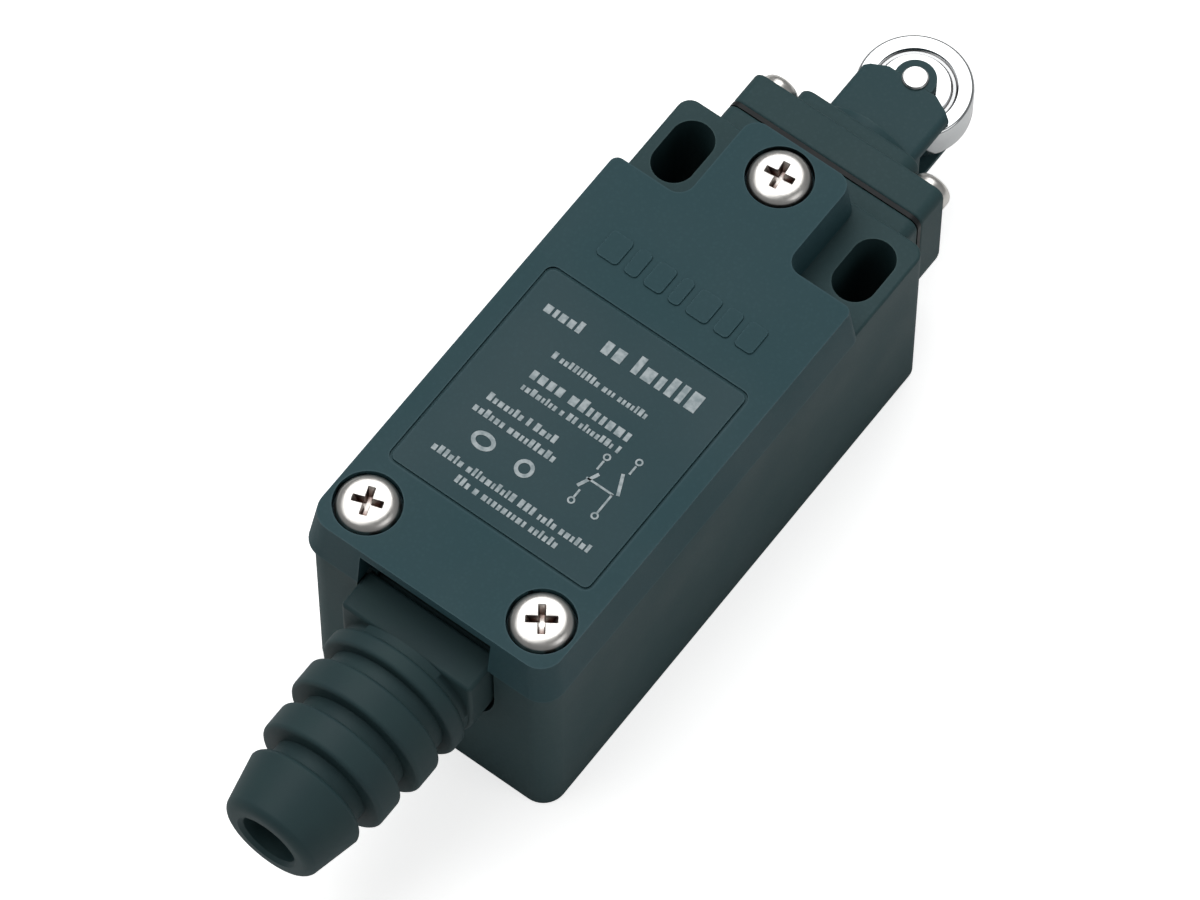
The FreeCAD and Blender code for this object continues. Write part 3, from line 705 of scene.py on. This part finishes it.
def screwSet(name, size, length, places, turns, tilt, node):
    first = makeScrew(name, size, length)
    made = []
    for i, (place, turn) in enumerate(zip(places, turns)):
        piece = first if i == 0 else first.copy()
        if i:
            piece.data = first.data.copy()
            bpy.context.scene.collection.objects.link(piece)
            piece.name = name + str(i + 1)
        made.append(piece)
    for piece, place, turn in zip(made, places, turns):
        piece.rotation_euler.z = math.radians(turn)
        bake(piece)
        piece.rotation_euler.x = math.radians(tilt)
        piece.location = Vector(place) * mm
        bake(piece)
        dress(piece, "nickel", "housing", node)


sinkFloor = coverHigh.z - lid["sinkDepth"]
screwSet("coverScrew", screwHead, 6.0, [(x, y, sinkFloor) for x, y in screwPlaces], (8, 20, 35), 0,
         "cover_screws")
headX = headScrewHigh.x - headScrew["radius"]
headZ = headScrewHigh.z - headScrew["radius"]
screwSet("headScrew", headScrew, 7.5, [(-headX, headScrewSeat, headZ), (headX, headScrewSeat, headZ)],
         (25, 60), -90, "head_screws")
print("screws done")

fork = {
    "shaftRadius": 6.1, "corner": 0.8, "halfWidth": 5.3, "halfDepth": 3.55, "start": 16.5, "shoulder": 1.6,
    "top": 0.4,
    "topHalf": 2.9, "lug": 2.2, "gap": 2.3, "root": 6.5, "stemRadius": 5.5, "bore": 3.4, "edge": 0.25,
}


def makePlunger():
    axis = (0, 0, pin.z)
    shaft = addRod("plungerShaft", fork["shaftRadius"], plungerCollar[1] - 0.5, fork["start"], "Y", axis, 96)
    join(shaft, addRod("collar", collarRadius, plungerCollar[0], plungerCollar[1], "Y", axis, 96))
    join(shaft, addRod("stem", fork["stemRadius"], plungerLow.y, plungerCollar[0] + 0.5, "Y", axis))
    tines = addBlock("tines", (-fork["halfWidth"], fork["start"] - 1, pin.z - fork["halfDepth"]),
                     (fork["halfWidth"], pin.y - fork["shoulder"], pin.z + fork["halfDepth"]))
    shape = openEdit(tines, "FACE")
    for face in shape.faces:
        face.select_set(face.normal.y > 0.9)
    bmesh.update_edit_mesh(tines.data)
    rise = fork["shoulder"] - fork["top"]
    bpy.ops.mesh.extrude_region_move(TRANSFORM_OT_translate={"value": (0, rise * mm, 0)})
    bpy.ops.transform.resize(value=(fork["topHalf"] / fork["halfWidth"], 1, 1), center_override=(0, 0, 0))
    closeEdit()
    roundCorners(tines, fork["corner"], lambda at: True, "Y", 6)
    join(shaft, tines)
    join(shaft, addRod("lug", fork["lug"], pin.z - fork["halfDepth"], pin.z + fork["halfDepth"],
                       at=(0, pin.y, 0), count=64))
    cut(shaft, addBlock("rollerRoom", (-9, pin.y - fork["root"], pin.z - fork["gap"]),
                        (9, pin.y + 4, pin.z + fork["gap"])))
    cut(shaft, addRod("stemBore", fork["bore"], plungerLow.y - 1, plungerLow.y + 11, "Y", axis))
    cut(shaft, addRod("pinHole", pinRadius, pin.z - 6, pin.z + 6, at=(0, pin.y, 0), count=48))
    soften(shaft, fork["edge"])
    return dress(shaft, "plunger", "plunger", "plunger")


pinLow, pinHigh = edges("roller_pin")
pinRadius = (pinHigh.x - pinLow.x) / 2
plungerCollar = (bushLow.y - 1.6, bushLow.y - 0.1)
makePlunger()


def makePin():
    edge = 0.15
    low, high = pinLow.z, pinHigh.z
    profile = [(low, pinRadius - edge), (low + edge, pinRadius), (high - edge, pinRadius),
               (high, pinRadius - edge)]
    rod = turned("rivetedPin", profile, "Z", (0, pin.y, 0), 48, closed=False)
    return dress(rod, "pin", "plunger", "roller_pin")


makePin()

wheel = {"rim": 0.35, "landRadius": 4.4, "recess": 0.35, "hubRadius": 3.6, "bore": 1.4}


def makeRoller():
    low, high = edges("roller")
    radius = (high.x - low.x) / 2
    half = (high.z - low.z) / 2
    rim = wheel["rim"]
    floor = half - wheel["recess"]
    up = [(floor, wheel["hubRadius"] + 0.25), (floor, wheel["landRadius"] - 0.25),
          (half - 0.05, wheel["landRadius"])]
    up += arc((half - rim, radius - rim), rim, 0, 90, 6)
    profile = [(0, wheel["bore"]), (half - 0.2, wheel["bore"]), (half, wheel["bore"] + 0.2),
               (half, wheel["hubRadius"])] + up
    profile += [(-z, r) for z, r in reversed(profile[1:])]
    disc = turned("rollerWheel", profile, "Z", (0, pin.y, pin.z), 128)
    return dress(disc, "roller", "roller", "roller")


makeRoller()
print("plunger and roller done")

sleeve = {
    "ribs": [(1.0, 7.4, 2.0, 8.0), (1.8, 6.6, 3.4, 7.8), (1.8, 5.9, 3.4, 7.2)], "lastGroove": (1.8, 5.2),
    "cap": (6.6, 6.5, 4.9), "flange": 3.1, "plug": 7.8, "flank": 7.2, "round": 0.5,
    "root": 6.0,
    "top": 24.4, "rebate": 1.0, "gap": 0.1, "edge": 0.45, "capShoulder": 0.9, "capNose": 1.3,
    "noseInset": 0.7, "mouth": 0.4,
}


def ribProfile(start, end, radius, root):
    # one rib with rounded shoulders, drawn towards the cable end
    r = min(sleeve["round"], (start - end) / 2.2)
    points = [(start, root)]
    points += arc((start - r, radius - r), r, 0, 90, 5)
    points += arc((end + r, radius - r), r, 90, 180, 5)
    points.append((end, root))
    return points


def plugSection(radius, flank, top, y0, y1):  # round below, flat at the sides and on top
    rod = addRod("plug", radius, y0, y1, "Y", (0, 0, gland.z), 96)
    pickPoints(rod, lambda at: at.z > gland.z + 0.001)
    bpy.ops.transform.translate(value=(0, 0, (top + 2 - gland.z) * mm))
    closeEdit()
    for low, high in (((-9, y0 - 1, top), (9, y1 + 1, top + 12)), ((-12, y0 - 1, 0), (-flank, y1 + 1, 40)),
                      ((flank, y0 - 1, 0), (12, y1 + 1, 40))):
        cut(rod, addBlock("trim", low, high))
    return rod


def makeGrommet():
    low, high = edges("cable_grommet")
    bore = mounts["cable_entry"]["dims"]["r_mm"]
    edge = baseLow.y
    seat = edge + base["endWall"] - base["lip"] - sleeve["gap"]
    neckEnd = edge + base["endWall"] + sleeve["gap"]
    flange = edge - sleeve["flange"]
    plug = plugSection(sleeve["plug"], sleeve["plug"], sleeve["top"], flange, seat)
    soften(plug, sleeve["edge"])
    neckRadius = base["lipRadius"] - sleeve["gap"]
    join(plug, plugSection(neckRadius, neckRadius, sleeve["top"] - sleeve["rebate"],
                           seat - 0.5, neckEnd + 0.5))
    join(plug, plugSection(sleeve["plug"], sleeve["flank"], sleeve["top"], neckEnd, high.y))
    root = sleeve["root"]
    profile = [(flange + 1, bore), (flange + 1, root), (flange, root), (flange, root)]
    y = flange
    for groove, grooveRadius, rib, ribRadius in sleeve["ribs"]:
        profile[-1] = (y, grooveRadius)
        profile += ribProfile(y - groove, y - groove - rib, ribRadius, grooveRadius)
        y -= groove + rib
    groove, grooveRadius = sleeve["lastGroove"]
    profile[-1] = (y, grooveRadius)
    y -= groove
    length, wide, narrow = sleeve["cap"]
    profile.append((y, grooveRadius))
    shoulder, nose, mouth = sleeve["capShoulder"], sleeve["capNose"], sleeve["mouth"]
    profile += arc((y - shoulder, wide - shoulder), shoulder, 0, 80, 6)
    end = y - length
    profile += arc((end + nose, narrow - sleeve["noseInset"]), nose, 110, 180, 7)
    profile += [(end, bore + mouth), (end + mouth, bore)]
    piece = turned("strainReliefSleeve", profile, "Y", (0, 0, gland.z), 128)
    cut(plug, addRod("cableHole", bore, flange - 1, high.y + 1, "Y", (0, 0, gland.z), 64))
    join(piece, plug)
    evenShade(piece, 38)
    return dress(piece, "grommet", "housing", "cable_grommet")


makeGrommet()
print("grommet done")

inkFoot = coverHigh.z - panel["sunk"]


def inkBlock(x0, x1, y0, y1, turn=0):
    bar = addBlock("ink", (x0, y0, inkFoot - panel["sunk"]), (x1, y1, inkFoot + panel["ink"]))
    if turn:
        only(bar)
        bpy.ops.transform.rotate(value=math.radians(turn), orient_axis="Z",
                                 center_override=Vector(((x0 + x1) / 2, (y0 + y1) / 2, 0)) * mm)
        bake(bar)
    return bar


def inkRow(y, x0, x1, tall):  # short plain strokes of uneven width and height, standing in for print
    marks = []
    x = x0
    while x < x1 - tall * 0.3:
        width = tall * random.uniform(0.3, 0.6)
        height = tall * random.choice((0.7, 0.7, 1.0))
        marks.append(inkBlock(x, min(x + width, x1), y, y + height))
        x += width + tall * random.choice((0.22, 0.22, 0.22, 0.22, 0.6))
    return marks


def inkRing(x, y, wide, tall, line):
    ring = addRod("ink", 1, inkFoot - panel["sunk"], inkFoot + panel["ink"], at=(0, 0, 0), count=48)
    hole = addRod("inkHole", 1, inkFoot - 1, inkFoot + 1, at=(0, 0, 0), count=48)
    for piece, less in ((ring, 0), (hole, line)):
        piece.scale = (wide / 2 - less, tall / 2 - less, 1)
        piece.location = (x * mm, y * mm, 0)
        bake(piece)
    return cut(ring, hole)


def inkSymbol():  # the usual drawing of two changeover contacts
    line = panel["line"]
    marks = []
    for x, top, lean in ((4.9, -33.6, 24), (7.7, -32.2, -24)):
        marks.append(inkRing(x, top, 0.8, 0.8, 0.18))
        marks.append(inkBlock(x - line / 2, x + line / 2, top - 1.6, top - 0.5))
        marks.append(inkBlock(x - line * 0.8, x + line * 0.8, top - 4.2, top - 1.8, lean))
        marks.append(inkBlock(x - line / 2, x + line / 2, -38.9, top - 4.3))
        marks.append(inkRing(x, -39.3, 0.8, 0.8, 0.18))
    marks.append(inkBlock(4.6, 7.8, -36.6, -36.6 + line))
    return marks


def makePanel():
    plate = addBlock("panelPlate", (-panel["x"], panel["bottom"], coverHigh.z - panel["deep"]),
                     (panel["x"], panel["top"], inkFoot))
    roundCorners(plate, panel["corner"], lambda at: True, segments=6)
    soften(plate, panel["edge"], 2)
    dress(plate, "label", "housing", None)
    marks = []
    for row in panel["rows"]:
        marks += inkRow(*row)
    marks += inkRow(-24.6, -9.6, -4.6, 1.3)
    marks.append(inkRing(-5.6, -39.3, 2.6, 2.0, 0.45))
    marks.append(inkRing(-0.7, -39.3, 2.0, 2.0, 0.4))
    marks += inkSymbol()
    nothing()
    for mark in marks:
        mark.select_set(True)
    bpy.context.view_layer.objects.active = marks[0]
    bpy.ops.object.join()
    ink = bpy.context.object
    ink.name = "panelInk"
    dress(ink, "ink", "housing", None)


pads = {
    "y": -16.6, "tall": 3.2, "x": 9.4, "rise": 0.2, "sunk": 0.3, "corner": 0.5, "edge": 0.1,
    "widths": (2.6, 1.6, 2.2, 1.4, 2.6, 1.8, 2.2),
}


def makePads():  # a row of plain low pads moulded on the front
    x = -pads["x"]
    space = (2 * pads["x"] - sum(pads["widths"])) / (len(pads["widths"]) - 1)
    for width in pads["widths"]:
        pad = addBlock("raisedPad", (x, pads["y"], coverHigh.z - pads["sunk"]),
                       (x + width, pads["y"] + pads["tall"], coverHigh.z + pads["rise"]))
        roundCorners(pad, pads["corner"], lambda at: True, segments=5)
        soften(pad, pads["edge"], 2)
        dress(pad, "cover", "housing", None)
        x += width + space


makePanel()
makePads()
print("panel done")

travel = joints["plunger_slide"]["range_m"][1] / mm
carrierTravel = joints["carrier_slide"]["range_m"][1] / mm
coils = {
    "plunger_return_spring": {"wire": 0.45, "turns": 6.5, "body": "housing", "stroke": travel},
    "overtravel_spring": {"wire": 0.3, "turns": 6.5, "body": "plunger", "stroke": travel - carrierTravel},
    "carrier_return_spring": {"wire": 0.25, "turns": 5.5, "body": "housing", "stroke": carrierTravel},
}
contactCoils = {"wire": 0.15, "turns": 4.0, "length": 2.6}


def makeCoil(name, radius, wire, low, high, turns):
    # a wire circle swept round the plunger axis, with closed end turns
    nothing()
    bpy.ops.mesh.primitive_circle_add(vertices=12, radius=wire * mm, location=((radius - wire) * mm, 0, 0))
    coil = bpy.context.object
    coil.name = name
    bake(coil)
    sweep = coil.modifiers.new("sweep", "SCREW")
    sweep.axis = "Y"
    sweep.angle = math.radians(360 * turns)
    sweep.screw_offset = (high - low - 2 * wire) * mm
    sweep.steps = int(36 * turns)
    sweep.render_steps = int(36 * turns)
    sweep.use_smooth_shade = True
    applyTool(coil, "sweep")
    openEdit(coil)
    bpy.ops.mesh.select_non_manifold(extend=False)
    bpy.ops.mesh.edge_face_add()
    bpy.ops.mesh.select_all(action="SELECT")
    bpy.ops.mesh.normals_make_consistent(inside=False)
    closeEdit()
    coil.location = Vector((0, low + wire, pin.z)) * mm
    return bake(coil)


def makeSprings():
    for node, look in coils.items():
        low, high = edges(node)
        coil = makeCoil(node + "_coil", (high.x - low.x) / 2, look["wire"], low.y, high.y, look["turns"])
        dress(coil, "spring", look["body"], node)
        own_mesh(coil)
    low, high = edges("contact_springs")
    first = makeCoil("contactCoil", (high.x - low.x) / 2, contactCoils["wire"], low.y,
                     low.y + contactCoils["length"], contactCoils["turns"])
    second = first.copy()
    second.data = first.data.copy()
    bpy.context.scene.collection.objects.link(second)
    second.name = "contactCoil2"
    second.location.y = (high.y - contactCoils["length"] - low.y) * mm
    bake(second)
    for coil in (first, second):
        dress(coil, "spring", "contact_carrier", "contact_springs")


makeSprings()
print("springs done")

stage = {
    "azimuth": 36.9, "elevation": 63.1, "distance": 783, "target": (-1.2, -26.6, 13.3), "lens": 240,
    "floor": 3000, "floorGlow": 0.7, "floorBounce": 0.05, "skyGlow": 0.24,
}
lamps = {  # azimuth, elevation, distance, size, power
    "keyBox": (217, 60, 700, 560, 1.9),
    "leftBox": (-60, 66, 800, 600, 1.65),
    "sideFill": (95, 40, 900, 500, 0.7),
}


def toward(azimuth, elevation):  # the way from the object to a camera or lamp
    a, e = math.radians(azimuth), math.radians(elevation)
    return Vector((math.sin(a) * math.cos(e), -math.cos(a) * math.cos(e), math.sin(e)))


def aim(thing, place, target):
    thing.location = place
    thing.rotation_euler = (target - place).to_track_quat("-Z", "Y").to_euler()


def makeFloor():
    nothing()
    bpy.ops.mesh.primitive_plane_add(size=stage["floor"] * mm, location=(0, 0, 0))
    floor = bpy.context.object
    floor.name = "paleFloor"
    material, tree, shader = newMaterial("palePaperSweep", "F4F4F3", 0.9)
    place = addNode(tree, "ShaderNodeTexCoord").outputs["Object"]
    fibre = addNode(tree, "ShaderNodeTexNoise", {"Scale": 1 / (6 * mm), "Detail": 3.0}, {"Vector": place})
    bump = addNode(tree, "ShaderNodeBump", {"Strength": 0.05, "Distance": 0.02 * mm},
                   {"Height": fibre.outputs["Fac"]})
    tree.links.new(bump.outputs["Normal"], shader.inputs["Normal"])
    shader.inputs["Emission Color"].default_value = hexColor("FFFFFF")
    seen = addNode(tree, "ShaderNodeLightPath").outputs["Is Camera Ray"]
    glow = addNode(tree, "ShaderNodeMapRange", {"To Min": stage["floorBounce"], "To Max": stage["floorGlow"]},
                   {"Value": seen})
    tree.links.new(glow.outputs[0], shader.inputs["Emission Strength"])  # white to the eye, dim on the object
    floor.data.materials.append(material)


def addLamp(name, azimuth, elevation, distance, size, power):
    light = bpy.data.lights.new(name, "AREA")
    light.shape = "DISK"
    light.size = size * mm
    light.energy = power
    lamp = bpy.data.objects.new(name, light)
    bpy.context.scene.collection.objects.link(lamp)
    target = Vector(stage["target"]) * mm
    aim(lamp, target + toward(azimuth, elevation) * distance * mm, target)


def makeCamera():
    data = bpy.data.cameras.new("productCamera")
    data.lens = stage["lens"]
    data.sensor_width = 36
    data.clip_start = 0.01
    data.clip_end = 10
    camera = bpy.data.objects.new("productCamera", data)
    bpy.context.scene.collection.objects.link(camera)
    target = Vector(stage["target"]) * mm
    way = toward(stage["azimuth"], stage["elevation"])
    aim(camera, target + way * stage["distance"] * mm, target)
    bpy.context.scene.camera = camera


makeFloor()
for lampName, values in lamps.items():
    addLamp(lampName, *values)
world = bpy.data.worlds.new("paleStudio")
world.use_nodes = True
world.node_tree.nodes["Background"].inputs["Color"].default_value = hexColor("F2F4F5")
world.node_tree.nodes["Background"].inputs["Strength"].default_value = stage["skyGlow"]
bpy.context.scene.world = world
bpy.context.scene.view_settings.view_transform = "Standard"
makeCamera()
print("stage done")
